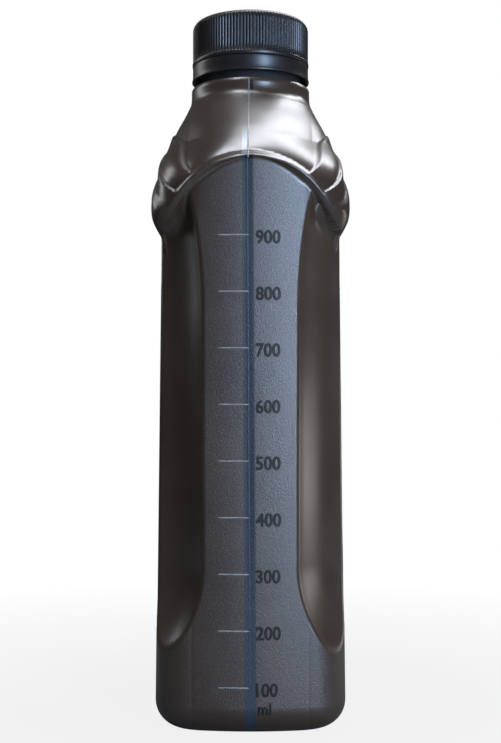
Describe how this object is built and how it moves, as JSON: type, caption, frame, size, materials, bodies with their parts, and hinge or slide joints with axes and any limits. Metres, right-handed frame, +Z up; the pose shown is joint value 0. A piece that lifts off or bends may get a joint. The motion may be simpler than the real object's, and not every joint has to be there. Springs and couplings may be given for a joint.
{
  "type": "motor oil bottle",
  "caption": "One litre motor oil bottle with a moulded shoulder, grip scoops, a graduated view stripe, a ribbed screw cap and a tamper band.",
  "frame": {"origin": "centre of the base, where the bottle stands", "axes": "+Z up along the neck's axis, +X across the thickness, +Y across the width, away from the graduated face"},
  "size_m": [0.063, 0.1112, 0.234],
  "materials": {
    "bottle": "satin pearl pewter with a slate blue view stripe",
    "closure": "charcoal, satin",
    "liner": "foamed, off-white",
    "label": "bare film in two plain fields"
  },
  "bodies": {
    "bottle": {"bottle_body": "bottle", "tamper_band": "closure", "front_label": "label", "back_label": "label"},
    "liner": {"cap_liner": "liner"},
    "cap": {"screw_cap": "closure"}
  },
  "joints": [
    {"name": "cap_lift", "type": "slide", "parent": "bottle", "child": "liner", "axis": [0, 0, 1], "range_m": [0, 0.0161]},
    {"name": "cap_turn", "type": "hinge", "parent": "liner", "child": "cap", "pos_m": [0, 0, 0.2196], "axis": [0, 0, 1], "range_deg": [0, 1440]}
  ],
  "couplings": [
    {"joint": "cap_lift", "follows": "cap_turn", "m_per_rad": 0.00063662}
  ]
}
